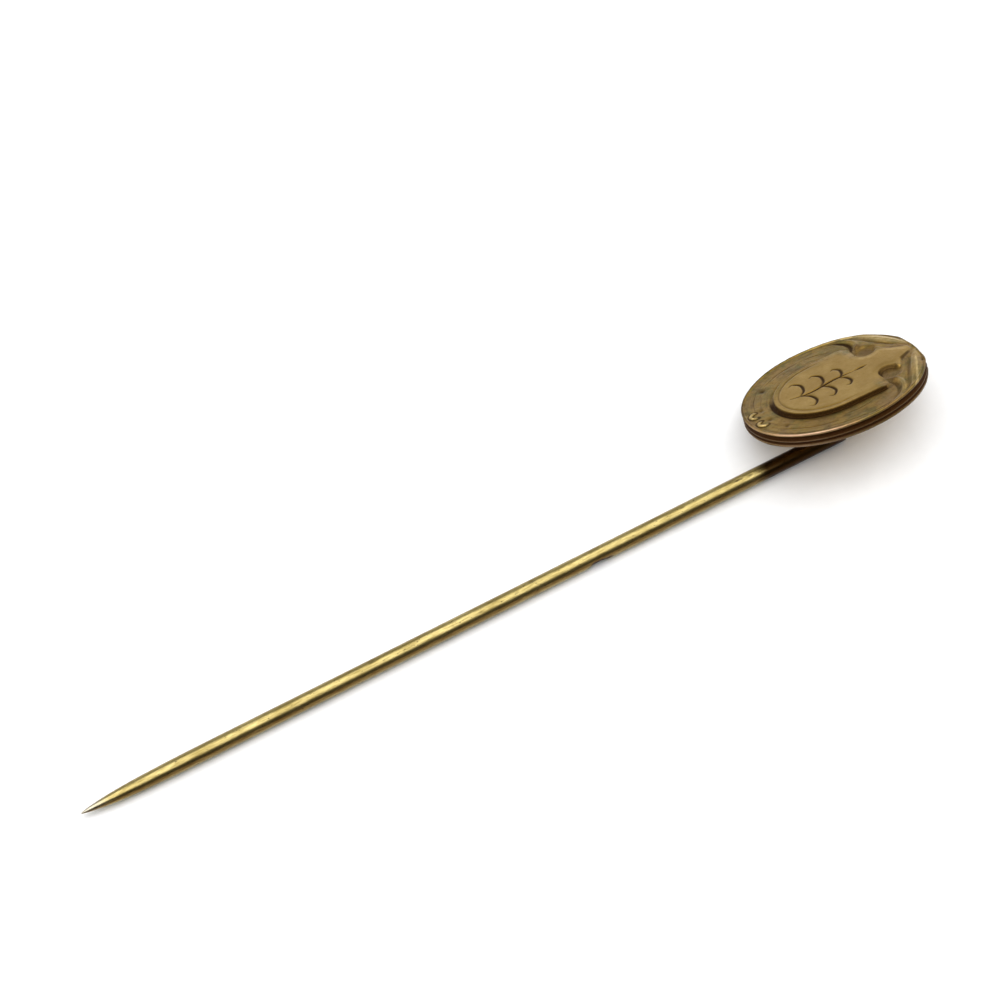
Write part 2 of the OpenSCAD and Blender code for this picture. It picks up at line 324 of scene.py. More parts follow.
def shield_distance(x, y):
    """Distance outside the edge of the raised shield, in millimetres; inside it is negative."""
    x = np.abs(x)
    side, turn_y = SHIELD_SIDE * HALF_W, -SHIELD_TURN * HALF_L
    depth = (SHIELD_FOOT - SHIELD_TURN) * HALF_L
    qx, qy = x / side, (y - turn_y) / depth
    bowl = np.hypot(qx, qy) + 1e-9
    slope = np.hypot(qx / side, qy / depth) / bowl + 1e-9
    bowl_d = (bowl - 1) / slope
    top = SHOULDER_TOP * HALF_L
    over_x, over_y = x - side + SHOULDER_ROUND, y - top + SHOULDER_ROUND
    corner = np.hypot(np.maximum(over_x, 0), np.maximum(over_y, 0)) - SHOULDER_ROUND
    box_d = corner + np.minimum(np.maximum(over_x, over_y), 0)
    body = np.where(y < turn_y, bowl_d, box_d)
    neck_w = np.interp(y / HALF_L, [row[1] for row in NECK], [row[0] for row in NECK]) * HALF_W
    neck = np.maximum((x - neck_w) * 0.9, np.maximum(y - NECK[-1][1] * HALF_L, top - 1 - y))
    cusp = capsule(x, y, *[(row[0] * HALF_W, row[1] * HALF_L) for row in CUSP], CUSP_R)
    whole = blend_min(blend_min(body, neck, 0.35), cusp, 0.25)
    bite = np.hypot(x - BITE[0] * HALF_W, y - BITE[1] * HALF_L) - BITE_R
    return -blend_min(-whole, bite, 0.12)


def step(t):
    t = np.clip(t, 0, 1)
    return t * t * (3 - 2 * t)


def above(value, limit):
    """1 where a value is over a limit. The limit has the run over which it comes in."""
    start, run = limit
    return step((value - start) / run)


def below(value, limit):
    """1 where a value is under a limit."""
    start, run = limit
    return step((start - value) / run)


def mantle_cover(x, y):
    """Share of the raised field over the shoulders at a place."""
    far = np.abs(x)
    share = np.hypot(x / HALF_W, y / HALF_L)
    over = y - np.interp(far / HALF_W, [row[0] for row in MANTLE], [row[1] for row in MANTLE]) * HALF_L
    bite = np.hypot(far - BITE[0] * HALF_W, y - BITE[1] * HALF_L)
    cover = step(over / MANTLE_RUN) * step((bite - 0.8 * BITE_R) / (0.6 * BITE_R))
    return cover * step((0.99 - share) / 0.2)


def dent(x, y, row):
    """Depth of a round dent, or strength of a round stain, at a place."""
    across, up, radius, depth = row
    return depth * np.exp(-(np.hypot(x - across * HALF_W, y - up * HALF_L) / radius) ** 2)


# Fine lines along the shield's edge: distance outside the edge, width and height in millimetres
MOAT = [0.13, 0.09, 0.03]
BEAD = [-0.12, 0.06, 0.02]
INNER_LINE = [-0.42, 0.07, 0.04]
# Fall of the shield's top towards its edge: where it begins inside the edge, its run and its depth
BROW = [0.5, 0.45, 0.03]
# Veins of the crown ridge, and how steep the sides of the ridge and of the arm are
CROWN_FLUTES = 0.2
CROWN_CRISP = 1.4
ARM_CRISP = 1.8


def edge_line(edge, line):
    """Height of a soft line that follows the shield's edge."""
    place_at, width, height = line
    return height * np.exp(-((edge - place_at) / width) ** 2)


def below_shoulders(y):
    return below(y, [0.1 * HALF_L, 1.5])


def crown_ridge(far, y):
    return ridge(far, y, CROWN_RIDGE, CROWN_FLUTES, CROWN_CRISP)


def arm_ridge(far, y):
    return ridge(far, y, ARM, 0.0, ARM_CRISP)


def relief(x, y):
    """Height of the pressed ornament over the level of the blank's top."""
    far = np.abs(x)
    edge = shield_distance(x, y)
    share = np.hypot(x / HALF_W, y / HALF_L)
    ground = BORDER_RISE * step((0.95 - share) / 0.3) + MANTLE_RISE * mantle_cover(x, y)
    leaves = np.maximum.reduce([crown_ridge(far, y), arm_ridge(far, y), ridge(far, y, PETAL)])
    ground = ground - ridge(far, y, CHANNEL) - ridge(far, y, UNDERCUT)
    ground = ground - edge_line(edge, MOAT) * below(y, [0.33 * HALF_L, 0.3])
    for row in SCRATCHES:
        ground = ground - ridge(x, y, row)
    bevel = BROW[2] * step((edge + BROW[0]) / BROW[1])
    lines = (edge_line(edge, BEAD) - edge_line(edge, INNER_LINE)) * below_shoulders(y)
    fade = NECK_SINK * above(y / HALF_L, NECK_FADE)
    fade = fade + SHOULDER_SINK * above(y / HALF_L, SHOULDER_FADE) * above(far / HALF_W, SIDE_FADE)
    table = SHIELD_RISE - bevel + lines - fade
    raised = np.maximum(table - ground, 0) * step(0.5 - edge / WALL_RUN)
    height = np.maximum(ground + raised, ground + leaves)
    return height - sum(dent(x, y, row) for row in DENTS)


# Depth at which a dent is wholly dark
DENT_DARK = 0.08
# Stains of the border, by the colour that they take: across, up, radius in millimetres, strength
BLOTCHES = {
    "moss": [[-0.70, 0.30, 1.1, 0.9], [-0.86, 0.0, 0.8, 0.6], [-0.93, 0.35, 0.7, 0.8],
             [-0.45, -0.70, 1.0, 0.5], [-0.80, -0.50, 0.7, 0.5], [0.74, -0.10, 0.5, 0.5],
             [-0.95, -0.25, 0.6, 0.8], [-0.99, 0.05, 0.5, 0.9], [-0.96, 0.3, 0.5, 0.9],
             [-0.86, 0.52, 0.5, 0.9], [-0.90, -0.46, 0.5, 0.9], [-0.99, -0.15, 0.5, 0.9]],
    "plum": [[0.82, 0.28, 0.9, 0.9], [0.62, 0.40, 0.6, 0.8], [-0.72, -0.33, 0.7, 0.7],
             [0.80, -0.15, 0.7, 0.5], [-0.20, -0.80, 0.7, 0.4], [0.15, 0.72, 0.5, 0.8],
             [0.36, 0.47, 0.5, 0.7], [-0.34, 0.50, 0.6, 0.8], [0.50, 0.45, 0.35, 0.9],
             [-0.50, 0.46, 0.35, 0.8], [0.57, 0.35, 0.3, 0.9]],
    "ochre": [[0.62, -0.52, 1.1, 0.7], [0.30, -0.80, 1.0, 0.7], [0.80, 0.05, 0.6, 0.4],
              [-0.60, -0.45, 0.8, 0.5], [0.45, 0.62, 0.7, 0.6]],
}


def blotch(x, y, rows):
    """Strength of a set of soft stains at a place. Their rows are those of a dent."""
    return np.maximum.reduce([dent(x, y, row) for row in rows])


# Painted highlight line along the crest of the right crown ridge, rows as a ridge's
CREST = [[0.24, 0.83, 0.06, 0.01], [0.38, 0.775, 0.09, 0.03], [0.56, 0.70, 0.09, 0.03],
         [0.75, 0.615, 0.09, 0.03], [0.87, 0.52, 0.08, 0.03], [0.94, 0.41, 0.05, 0.01]]
# Height from which a ridge is painted bright, as rubbed and as highlit, and how bright it is on
# the left and on the right
BRIGHT_FROM = 0.08
CROWN_POLISH_AND_HIGHLIGHT = [1, 0.3]
ARM_POLISH_AND_HIGHLIGHT = [0.2, 0.4]
# The arm is bright from here outwards
ARM_BRIGHT = [0.52, 0.08]


def covered(x, y, table, full):
    """Share of a ridge at a place: 1 from the given height upwards."""
    return np.minimum(ridge(x, y, table) / full, 1)


def polish_and_highlight(x, y):
    """Where the crown ridges, the arms and the bottom curls are painted bright: rubbing and painted
    highlights, with a painted highlight line on the right crest.
    """
    far = np.abs(x)
    crown = np.minimum(crown_ridge(far, y) / BRIGHT_FROM, 1) * np.where(x < 0, *CROWN_POLISH_AND_HIGHLIGHT)
    arm = np.minimum(arm_ridge(far, y) / BRIGHT_FROM, 1) * np.where(x < 0, *ARM_POLISH_AND_HIGHLIGHT)
    arm = arm * above(far / HALF_W, ARM_BRIGHT)
    crest = covered(x, y, CREST, 0.015)
    return np.maximum.reduce([crown, arm, crest, covered(far, y, PETAL, BRIGHT_FROM)])


# Soft patches of painted shade over the arms' curls, the shoulders' corners and the left bite: across,
# up, radius in millimetres and strength
SHADE_PATCHES = [[0.50, 0.455, 0.32, 0.6], [-0.48, 0.47, 0.35, 0.5], [0.585, 0.36, 0.25, 0.6],
           [-0.33, 0.50, 0.6, 0.45], [0.28, 0.605, 0.15, 0.3]]

# Wall of the shield that is painted dark as shaded: from its own edge out to here, at the side and at the
# foot
WALL_SHADE = [0.14, 0.24]
# Limits of its painted shade, each with the run over which it fades. Those up and across are
# shares of half the face, and those from the shield's edge are millimetres.
WALL_LIMITS = {
    "foot": [-0.35, 0.25], "brow": [-0.12, 0.09], "rim": [0.09, 0.1],
    "shoulder": [0.33, 0.03], "shoulder_side": [0.37 * HALF_W, 0.4],
    "cusp": [0.595, 0.02], "cusp_top": [0.70, 0.03], "neck_top": [0.80, 0.04],
    "left": [-0.12 * HALF_W, 0.2 * HALF_W], "left_top": [0.3, 0.1],
    "neck": [0, 0.2], "neck_foot": [0.5, 0.1], "upper": [0.36, 0.08],
}
# Share of the painted shade that is left off on the left, on the neck's left side and over the shoulders
LEFT_BARE = 0.8
NECK_BARE = 0.6
UPPER_BARE = 0.25


def wall_painted_shade(x, y, edge):
    """Painted shade on the wall round the shield."""
    far = np.abs(x)
    up = y / HALF_L
    limit = WALL_LIMITS
    side, foot = WALL_SHADE
    reach = side + (foot - side) * below(up, limit["foot"])
    wall = above(edge, limit["brow"]) * below(edge - reach, limit["rim"])
    # The painted shade is left off the wall over the shoulders, outside the cusps and at the top of the
    # neck
    shoulder = above(up, limit["shoulder"]) * (1 - below(far, limit["shoulder_side"]))
    cusp = above(up, limit["cusp"]) * below(up, limit["cusp_top"]) + above(up, limit["neck_top"])
    left = LEFT_BARE * below(x, limit["left"]) * (1 - above(up, limit["left_top"]))
    neck = NECK_BARE * below(x, limit["neck"]) * above(up, limit["neck_foot"])
    bare = np.clip(np.maximum.reduce([shoulder, cusp, left, neck]), 0, 1)
    return wall * (1 - bare) * (1 - UPPER_BARE * above(up, limit["upper"]))


def tarnish_and_shade(x, y):
    """Where the face is darkened, from 0 to 1: painted shade on the shield's wall, round the bottom curls,
    in the channel and in patches; shade and tarnishing in the hollows; dark lines and dents.
    """
    far = np.abs(x)
    edge = shield_distance(x, y)
    wall = wall_painted_shade(x, y, edge)
    # Painted shade with tarnishing in the hollows under the arms, darker on the left
    hollow = 0.95 * covered(far, y, UNDERCUT, 0.035) * np.where(x < 0, 1, 0.55)
    # Painted shade round the bottom curls
    around = 0.8 * covered(far, y, PETAL_SHADE, 0.4) * (1 - covered(far, y, PETAL, 0.05))
    # Painted shade in the channel between the arm and the crown ridge
    channel_shade = 0.45 * covered(far, y, CHANNEL, 0.05)
    lines = 0.45 * sum(covered(x, y, row, 0.015) for row in SCRATCHES)
    inner = 0.4 * edge_line(edge, INNER_LINE) / INNER_LINE[2] * below_shoulders(y)
    spots = sum(dent(x, y, row) for row in DENTS) / DENT_DARK
    parts = [wall, hollow, around, channel_shade, lines, inner, spots, blotch(x, y, SHADE_PATCHES)]
    return np.clip(np.maximum.reduce(parts), 0, 1)


# Engraved sprig in the middle of the shield. Each stroke is a cut: across, up, half width, depth.
SPRIG_STEM = [[-0.03, -0.50, 0.07, 0.03], [0.02, -0.28, 0.12, 0.06], [-0.015, 0.0, 0.13, 0.06],
              [0.0, 0.22, 0.07, 0.03]]
SPRIG_LEAF = [[0.0, 0.0, 0.06, 0.03], [0.07, 0.065, 0.13, 0.06], [0.19, 0.085, 0.14, 0.06],
              [0.27, 0.035, 0.09, 0.05], [0.25, -0.01, 0.05, 0.02]]
SPRIG_BUD = [[0.0, 0.24, 0.10, 0.04], [0.0, 0.31, 0.14, 0.05], [0.0, 0.37, 0.06, 0.02]]
# Foot of each pair of leaves and its size
SPRIG_LEAVES = [(-0.40, 1.15), (-0.17, 1.1), (0.05, 0.85)]


def engraving(x, y):
    """Depth of the engraved sprig."""
    cut = ridge(x, y, SPRIG_STEM)
    for foot, size in SPRIG_LEAVES:
        leaf = [[a * size, foot + b * size, w, d] for a, b, w, d in SPRIG_LEAF]
        cut = np.maximum(cut, ridge(np.abs(x), y, leaf))
    return np.maximum(cut, ridge(x, y, SPRIG_BUD))


# Face

FACE_SIDES = 104
# Direction from the crown in which the lip is worn, and painted bright as a highlight, and how far round it
# spreads
LIP_WEAR_AND_HIGHLIGHT = math.radians(138)
LIP_SPREAD = math.radians(26)
# Turned section from the middle of the face out to its lip: radii as shares of the inner field
FIELD_ROWS = [0.06 * k for k in range(1, 6)] + [0.35 + 0.0275 * k for k in range(24)]
# Lip: inset, as a share of its width, and height, of its rise
LIP_ROWS = [[0.5, 0.05], [0.42, 0.05], [0.33, 0.7], [0.2, 1], [0.07, 0.5]]
# Edge: inset, as a share of the groove's depth, and level, as a share of the edge's height
EDGE_ROWS = [
    [0, 0.95], [0.2, 0.88], [1, 0.8], [1, 0.62], [0.2, 0.55], [0, 0.47], [0.7, 0.34],
    [0.7, 0.3], [0.1, 0.24], [0, 0.14], [0.3, 0.03], [0.8, 0],
]
# Turned-over border and seat: inset and level, in millimetres
SEAT_ROWS = [
    [FOLD_W - 0.06, 0], [FOLD_W, 0.3 * FOLD_T], [FOLD_W, 0.8 * FOLD_T], [FOLD_W - 0.03, FOLD_T],
    [SEAT_INSET, FOLD_T], [SEAT_INSET, FOLD_T + BACK_T + 2 * SEAT_GAP],
]


def face_section():
    """Radius and level of each ring of the face's blank, from its middle to its seat."""
    field = BLANK_R - LIP_W
    rows = [[share * field, EDGE_T] for share in FIELD_ROWS[1:] + [1.0]]
    rows += [[BLANK_R - inset * LIP_W, EDGE_T + rise * LIP_RISE] for inset, rise in LIP_ROWS]
    rows += [[BLANK_R - inset * GROOVE_D, level * EDGE_T] for inset, level in EDGE_ROWS]
    rows += [[BLANK_R - inset, level] for inset, level in SEAT_ROWS]
    return rows


def hollows(points, height_of, pitch=0.06, reach=0.45):
    """How deep each point lies below its surroundings, in millimetres."""
    across = np.arange(-HALF_W - 1, HALF_W + 1, pitch)
    up = np.arange(-HALF_L - 1, HALF_L + 1, pitch)
    gx, gy = np.meshgrid(across, up)
    chart = height_of(gx, gy)
    span = int(3 * reach / pitch)
    weights = np.exp(-0.5 * (np.arange(-span, span + 1) * pitch / reach) ** 2)
    weights /= weights.sum()
    soft = np.apply_along_axis(np.convolve, 0, chart, weights, mode="same")
    soft = np.apply_along_axis(np.convolve, 1, soft, weights, mode="same")
    col = np.clip(((points[:, 0] - across[0]) / pitch).astype(int), 0, len(across) - 1)
    row = np.clip(((points[:, 1] - up[0]) / pitch).astype(int), 0, len(up) - 1)
    return soft[row, col] - height_of(points[:, 0], points[:, 1])


# Where the face's finish changes. Insets are millimetres, levels are shares of the edge's height,
# and places up and across are shares of half the face. Each has the run over which it changes.
FACE_LIMITS = {
    "top": [0.86, 0.1], "lip": [0.11, 0.04], "lip_level": [0.93, 0.04],
    "dull_rim": [0.2, 0.08], "dull_level": [0.84, 0.06], "dull_left": [0.2, 0.5], "dull_up": [-0.3, 0.3],
    "groove": [0.01, 0.04], "groove_level": [0.91, 0.05], "stain": [0.12, 0.1],
    "crease": [0.13, 0.08], "crease_end": [LIP_W - 0.1, 0.15],
    "shade_left": [-0.05, 0.4], "shoulder": [0.34, 0.12], "shoulder_up": [0.22, 0.1],
}
# Depth of a cut at which it is darkest, and of a hollow at which it is painted quite dark as shaded
CUT_DARK = 0.05
HOLLOW_DARK = 0.1
# Level of the border behind, under which the edge stays clean
EDGE_FOOT = 0.05
# Share of the near side's wear and colour that the whole edge has
NEAR_LEAST = 0.25


def add_face():
    first = FIELD_ROWS[0] * (BLANK_R - LIP_W)
    start_disk(FACE_SIDES, first, EDGE_T)
    turn_rings(face_section(), first, EDGE_T)
    face = close("face")
    smooth(face, 2)
    blank = points_of(face)
    inset = BLANK_R - np.hypot(blank[:, 0], blank[:, 1])
    on_top = above(blank[:, 2] / EDGE_T, FACE_LIMITS["top"])
    points = press(blank)
    x, y = points[:, 0], points[:, 1]
    cut = engraving(x, y)
    # The border is worn uneven, and the shield hardly at all
    worn = grain(points, 0.5, 0.012) + grain(points, 0.17, 0.006, 7.0)
    swell = worn * (0.12 + 0.88 * above(shield_distance(x, y), [-0.1, 0.2]))
    points[:, 2] += on_top * (relief(x, y) - cut + swell)
    move_points(face, points)
    paint_face(face, points, inset, on_top, cut)
    place(face, HEAD_PLACE)
    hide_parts("face_shell")
    return face


def face_dirt_and_shade(points, inset, on_top, cut, near):
    """How dirty the face is, and how dark its painted shade is, from 0 to 1."""
    x, y, level = points[:, 0], points[:, 1], points[:, 2] / EDGE_T
    limit = FACE_LIMITS
    # Painted shade in the relief's hollows, darker the deeper they lie
    deep = hollows(points, relief) / HOLLOW_DARK * on_top
    groove = above(inset, limit["groove"]) * below(level, limit["groove_level"])
    groove = groove * (points[:, 2] > EDGE_FOOT)
    upper = above(y / HALF_L, limit["dull_up"])
    aside = np.maximum(below(x / HALF_W, limit["dull_left"]), 0.6 * upper)
    dull = aside * below(inset, limit["dull_rim"]) * above(level, limit["dull_level"])
    crease = above(inset, limit["crease"]) * below(inset, limit["crease_end"]) * on_top * near
    # Tarnishing and painted shade, kept off the outer edge
    tarnished_and_shaded = tarnish_and_shade(x, y) * on_top * above(inset, limit["stain"])
    parts = [0.25 * deep, tarnished_and_shaded, groove, cut / CUT_DARK, 0.6 * crease, 0.6 * dull]
    return np.clip(np.maximum.reduce(parts), 0, 1)


def paint_face(face, points, inset, on_top, cut):
    """Stores where the face is dirty, worn and polished, where its stains lie, and where shade and
    highlights are painted on it.
    """
    x, y, level = points[:, 0], points[:, 1], points[:, 2] / EDGE_T
    limit = FACE_LIMITS
    turn = np.arctan2(x, y)
    near = np.exp(-((turn - LIP_WEAR_AND_HIGHLIGHT) / LIP_SPREAD) ** 2)
    # The lip on the near side is painted bright: wear, and a painted highlight
    lip = below(inset, limit["lip"]) * above(level, limit["lip_level"]) * near
    paint(face, "recess", face_dirt_and_shade(points, inset, on_top, cut, near) * (1 - lip))
    paint(face, "side", 1 - on_top)
    paint(face, "near", NEAR_LEAST + (1 - NEAR_LEAST) * near)
    paint(face, "lip", lip)
    paint(face, "raised", polish_and_highlight(x, y) * on_top)
    # The border's colour runs a little over the shield's edge, and further on the left
    run_in = 0.1 + 0.9 * below(x / HALF_W, limit["shade_left"])
    outer = step((shield_distance(x, y) + run_in) / (run_in + 0.1))
    shoulder = above(np.abs(x) / HALF_W, limit["shoulder"]) * above(y / HALF_L, limit["shoulder_up"])
    paint(face, "border", on_top * np.maximum(outer, 0.9 * shoulder))
    for name, blotches in BLOTCHES.items():
        paint(face, name, on_top * blotch(x, y, blotches))
    paint_course(face, "around", np.column_stack([4 * np.sin(turn), 4 * np.cos(turn), 6 * inset]))


# Back plate, let in behind the turned-over border

# Rounding of the plate's edge
PLATE_EDGE = 0.04


def add_back_plate():
    radius = BLANK_R - SEAT_INSET - SEAT_GAP
    low = FOLD_T + SEAT_GAP
    first = 0.2 * radius
    start_disk(FACE_SIDES, first, low)
    rows = [[share * radius, low] for share in np.linspace(0.3, 0.95, 14)]
    rows += [[radius - PLATE_EDGE, low], [radius, low + PLATE_EDGE],
             [radius, low + BACK_T - PLATE_EDGE], [radius - PLATE_EDGE, low + BACK_T],
             [0.5 * radius, low + BACK_T]]
    turn_rings(rows, first, low)
    plate = close("back_plate")
    smooth(plate, 2)
    points = press(points_of(plate))
    # The side that is seen is a little wavy, and lies that much deeper
    under = points[:, 2] < low + 0.3 * BACK_T
    points[under, 2] += 0.012 + grain(points[under], 1.6, 0.012) + grain(points[under], 0.4, 0.004)
    move_points(plate, points)
    place(plate, HEAD_PLACE)
    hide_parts("back_and_stem")
    return plate


# Solder round the neck, run out on the back plate

SOLDER_R = 1.05
SOLDER_SIDES = 40
# How far the solder's flat side lies inside the plate
SOLDER_SUNK = 0.04
# Uneven spread of the solder's edge: waves round it, height in millimetres and phase
SOLDER_WAVES = [[2, 0.06, 0.6], [3, 0.04, 2], [7, 0.02, 0]]


def add_solder():
    low = FOLD_T + SEAT_GAP
    foot = SOLDER_R - STEM_R
    start_disk(SOLDER_SIDES, SOLDER_R, low + SOLDER_SUNK, fill="NGON")
    rows = [[SOLDER_R, low]]
    rows += [[STEM_R + foot * (1 - math.sin(a)) ** 1.15, low - foot * (1 - math.cos(a)) * 1.1]
             for a in np.radians([12, 25, 38, 51, 64, 76, 84])]
    rows += [[STEM_R - 0.02, rows[-1][1] - 0.12]]
    turn_rings(rows, SOLDER_R, low + SOLDER_SUNK)
    solder = close("solder")
    smooth(solder, 2)
    points = points_of(solder)
    turn = np.arctan2(points[:, 1], points[:, 0])
    radius = np.hypot(points[:, 0], points[:, 1])
    wave = sum(height * np.sin(count * turn + phase) for count, height, phase in SOLDER_WAVES)
    spread = 1 + wave * step((radius - STEM_R) / foot)
    points[:, :2] *= spread[:, None]
    points[:, 2] += grain(points, 0.35, 0.02) * (points[:, 2] < low - 0.01)
    points[:, 1] += NECK_UP
    move_points(solder, points)
    place(solder, HEAD_PLACE)
    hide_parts("back_and_stem")
    return solder


# Wire: one drawn length with a filed point, a bend and a short neck

WIRE_SIDES = 32
RING_GAP = 0.48
NECK_STEPS = 4
# Subdivision draws a ring of this many sides in by this share
ROUNDING = (2 + math.cos(2 * math.pi / WIRE_SIDES)) / 3
# Point: place, as a share of its length, and thickness, of the wire's
POINT_ROWS = [
    [0.012, 0.13], [0.03, 0.2], [0.06, 0.3], [0.1, 0.4], [0.15, 0.5], [0.2, 0.59], [0.26, 0.67],
    [0.32, 0.74], [0.39, 0.8], [0.45, 0.85], [0.53, 0.89], [0.6, 0.92], [0.7, 0.95], [0.8, 0.975],
    [0.9, 0.99], [1, 1],
]
# Nicks and flats: place along the stem from the tip, turn round it from the top towards the
# front as it lies, length, width and depth in millimetres
NICKS = [
    [37.5, 112, 1.0, 0.55, 0.20], [38.3, 96, 0.4, 0.25, 0.06], [37.1, 78, 0.3, 0.2, 0.05],
    [32.8, -22, 0.35, 0.16, 0.04], [31.6, 12, 0.3, 0.12, 0.02], [48.2, -8, 0.5, 0.16, 0.03],
    [49.1, 2, 0.3, 0.12, 0.03], [28.9, 20, 0.25, 0.14, 0.02], [44.0, -12, 0.3, 0.14, 0.02],
    [12.5, 70, 0.5, 0.2, 0.02], [21.0, -20, 0.4, 0.2, 0.02], [2.0, 60, 1.0, 0.25, 0.02],
]
# Painted dark reflection on the wire's flanks: turn round it from the top at which it is darkest, and its
# spread
FLANK_TURN = 66
FLANK_SPREAD = 26
# Fine unevenness that drawing has left: its stretch along the wire, lump size and depth
DRAWN = [6, 0.35, 0.006]
# Depth at which a nick is wholly dark
NICK_DARK = 0.05
# The neck's last stretch lies inside the plate
NECK_SUNK = 0.1


def add_wire():
    """The wire is drawn along +Z from its tip, laid along X, and then bent up."""
    start_disk(WIRE_SIDES, TIP_R / ROUNDING, 0)
    rows = [[thick * STEM_R / ROUNDING, share * POINT_L] for share, thick in POINT_ROWS]
    straight = STEM_L - POINT_L + BEND_START
    count = round(straight / RING_GAP)
    rows += [[STEM_R / ROUNDING, POINT_L + straight * k / count] for k in range(1, count + 1)]
    turn_rings(rows, TIP_R / ROUNDING, 0)
    bpy.ops.object.mode_set(mode="OBJECT")
    wire = bpy.context.object
    wire.data.transform(Matrix.Translation((-STEM_L, 0, 0)) @ Matrix.Rotation(math.pi / 2, 4, "Y"))
    bpy.ops.object.mode_set(mode="EDIT")
    select_rim()
    # Known fault: about this axis the bend goes back towards the point, and the neck misses the solder
    bpy.ops.mesh.spin(steps=9, angle=BEND_TURN, center=(BEND_START, 0, BEND_R), axis=(0, -1, 0))
    up = Vector((math.sin(HEAD_TILT), 0, math.cos(HEAD_TILT)))
    for _ in range(NECK_STEPS):
        bpy.ops.mesh.extrude_edges_move()
        bpy.ops.transform.translate(value=up * (POST_L + NECK_SUNK) / NECK_STEPS)
    wire = close("stem")
    smooth(wire, 2)
    wear_wire(wire)
    place(wire, PIN_PLACE)
    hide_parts("back_and_stem")
    return wire


def wear_wire(wire):
    """Nicks the straight wire, and stores where it is dark."""
    points = points_of(wire)
    along = points[:, 0] + STEM_L
    turn = np.degrees(np.arctan2(-points[:, 1], points[:, 2]) - HEAD_ROLL)
    straight_part = along < STEM_L + BEND_START
    inward = np.zeros(len(points))
    for at, round_at, length, width, depth in NICKS:
        away = np.radians((turn - round_at + 180) % 360 - 180) * STEM_R
        inward += depth * np.exp(-((along - at) / (0.5 * length)) ** 2 - (away / (0.5 * width)) ** 2)
    stretch, lump, depth = DRAWN
    inward += np.abs(grain(points / (stretch, 1, 1), lump, depth))
    points[:, 1:] *= np.where(straight_part, 1 - inward / STEM_R, 1)[:, None]
    leaning = np.abs((turn + 180) % 360 - 180)
    paint(wire, "recess", np.clip(inward / NICK_DARK, 0, 1) * straight_part)
    # The flanks are painted dark as a reflection
    paint(wire, "flank", np.exp(-((leaning - FLANK_TURN) / FLANK_SPREAD) ** 2))
    paint(wire, "along", along)
    move_points(wire, points)


# Materials

def new_material(name):
    material = bpy.data.materials.new(name)
    material.use_nodes = True
    tree = material.node_tree
    return material, tree, tree.nodes["Principled BSDF"]


def node(tree, kind, **values):
    made = tree.nodes.new(kind)
    for key, value in values.items():
        if key in made.bl_rna.properties:
            setattr(made, key, value)
        else:
            made.inputs[key.replace("_", " ")].default_value = value
    return made


def link(tree, source, target):
    tree.links.new(source, target)


def coordinates(tree, stretch=(1, 1, 1)):
    """Object coordinates in millimetres, stretched along an axis."""
    source = node(tree, "ShaderNodeTexCoord")
    mapping = node(tree, "ShaderNodeMapping")
    mapping.inputs["Scale"].default_value = [1 / MM * s for s in stretch]
    link(tree, source.outputs["Object"], mapping.inputs["Vector"])
    return mapping.outputs["Vector"]


def noise_of(tree, where, size, detail=3.0, rough=0.55):
    """Noise with lumps of a size in millimetres."""
    made = node(tree, "ShaderNodeTexNoise", Scale=1 / size, Detail=detail, Roughness=rough)
    link(tree, where, made.inputs["Vector"])
    return made.outputs["Fac"]


def ramp(tree, value, stops):
    """Colours or greys between stops."""
    made = node(tree, "ShaderNodeValToRGB")
    elements = made.color_ramp.elements
    while len(elements) < len(stops):
        elements.new(0.5)
    for element, (at, colour) in zip(elements, stops):
        element.position = at
        element.color = (*colour, 1) if isinstance(colour, tuple) else (colour, colour, colour, 1)
    link(tree, value, made.inputs["Fac"])
    return made.outputs["Color"]


def mix(tree, amount, a, b, how="MIX"):
    made = node(tree, "ShaderNodeMix", data_type="RGBA", blend_type=how)
    for socket, value in ((0, amount), (6, a), (7, b)):
        if isinstance(value, (tuple, float, int)):
            made.inputs[socket].default_value = (*value, 1) if isinstance(value, tuple) else value
        else:
            link(tree, value, made.inputs[socket])
    return made.outputs[2]


def calc(tree, how, a, b, clamp=True):
    made = node(tree, "ShaderNodeMath", operation=how, use_clamp=clamp)
    for socket, value in enumerate((a, b)):
        if isinstance(value, (float, int)):
            made.inputs[socket].default_value = value
        else:
            link(tree, value, made.inputs[socket])
    return made.outputs[0]


def band(tree, value, start, end):
    """Smooth step from 0 at one value to 1 at another."""
    made = node(tree, "ShaderNodeMapRange", interpolation_type="SMOOTHSTEP")
    made.inputs["From Min"].default_value = start
    made.inputs["From Max"].default_value = end
    link(tree, value, made.inputs["Value"])
    return made.outputs[0]


def attribute(tree, name):
    return node(tree, "ShaderNodeAttribute", attribute_name=name).outputs["Fac"]


def bump(tree, shader, *layers):
    """Chains bump layers of height and distance in millimetres into the shader."""
    normal = None
    for height, distance in layers:
        made = node(tree, "ShaderNodeBump", Strength=1.0, Distance=distance * MM)
        link(tree, height, made.inputs["Height"])
        if normal is not None:
            link(tree, normal, made.inputs["Normal"])
        normal = made.outputs["Normal"]
    link(tree, normal, shader.inputs["Normal"])


